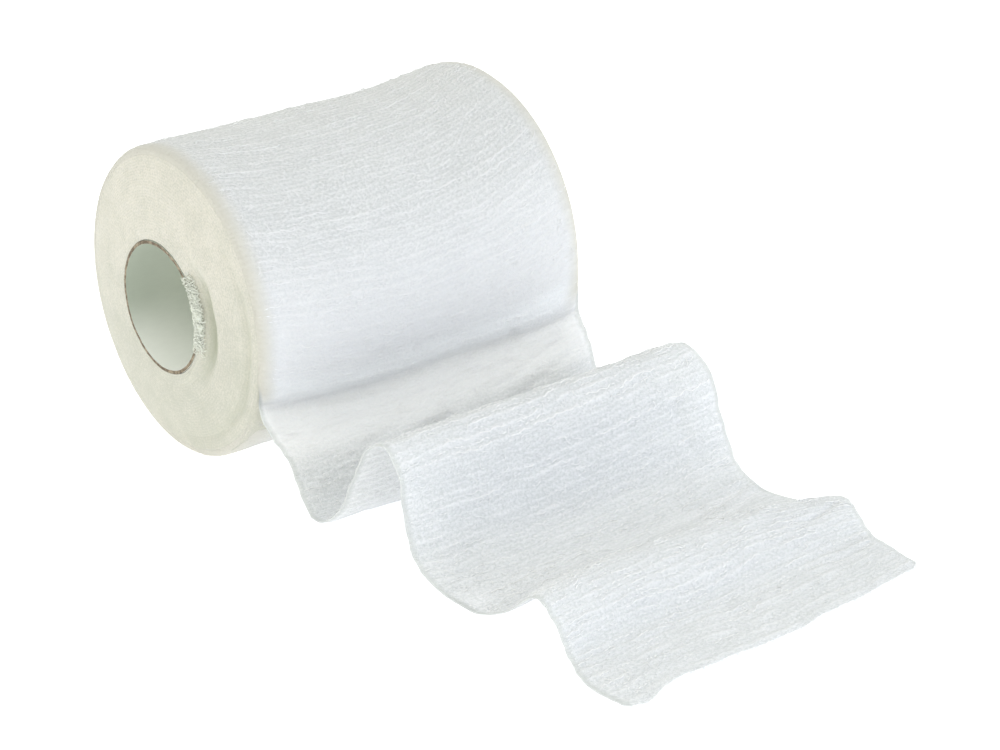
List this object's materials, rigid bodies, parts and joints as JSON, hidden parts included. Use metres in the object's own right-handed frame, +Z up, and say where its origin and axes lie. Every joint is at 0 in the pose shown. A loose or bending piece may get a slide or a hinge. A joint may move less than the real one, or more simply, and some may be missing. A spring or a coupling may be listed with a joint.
{
  "type": "cohesive bandage",
  "caption": "Crinkled elastic gauze strip wound on a card core, with its loose end laid out in soft folds; sticks to itself when wrapped round a limb.",
  "frame": {"origin": "middle of the flat spot under the roll, on the surface that the bandage lies on", "axes": "+X along the roll's axis, from the end where the core stands out to the end that flares; -Y the way the loose end runs out; +Z up"},
  "size_m": [0.0788, 0.1758, 0.0658],
  "materials": {
    "card": null,
    "wound_cloth": "matt crinkled gauze, cream at the wound ends and cool white round the outside",
    "cloth": "matt crinkled gauze, cool white, lets some light through"
  },
  "bodies": {
    "root": {"core": "card", "roll": "wound_cloth", "loose_end": "cloth"}
  },
  "joints": []
}
